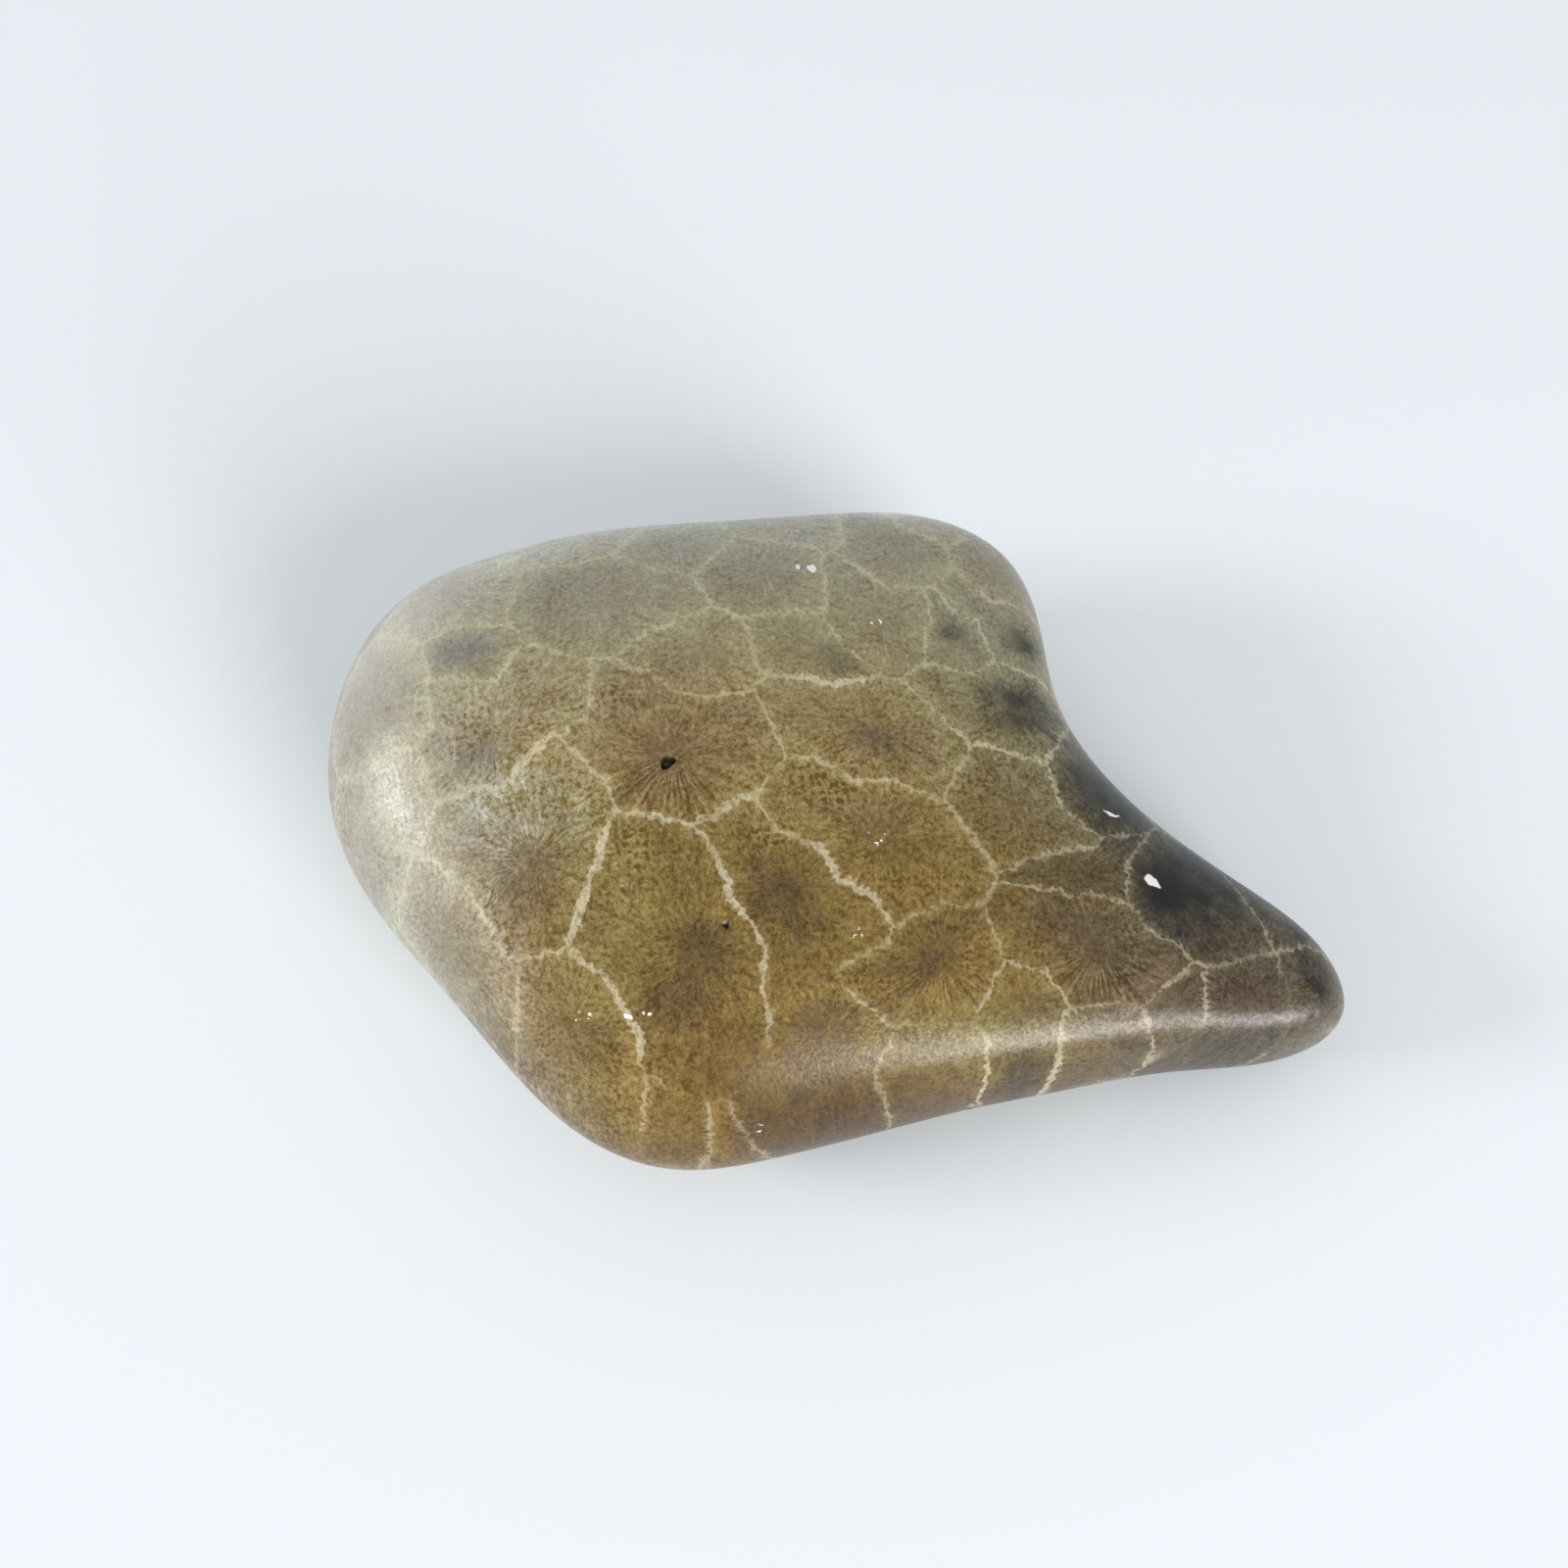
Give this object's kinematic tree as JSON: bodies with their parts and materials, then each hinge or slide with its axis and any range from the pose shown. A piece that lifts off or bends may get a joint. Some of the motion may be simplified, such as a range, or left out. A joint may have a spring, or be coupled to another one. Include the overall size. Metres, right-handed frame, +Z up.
{
  "type": "polished petoskey stone",
  "caption": "Polished freeform petoskey stone: a thick rounded pebble of fossil coral with a blunt tail and a flat underside to rest on.",
  "frame": {"origin": "under the middle of the stone, on the plane of its flat underside", "axes": "+X along the stone's longest side, from the thick body towards the tail; +Y towards the long back; +Z up"},
  "size_m": [0.0816, 0.0563, 0.0259],
  "materials": {
    "stone": "polished limestone, olive brown with pale honeycomb lines and fine dark rays round each coral centre"
  },
  "bodies": {
    "root": {"stone": "stone"}
  },
  "joints": []
}
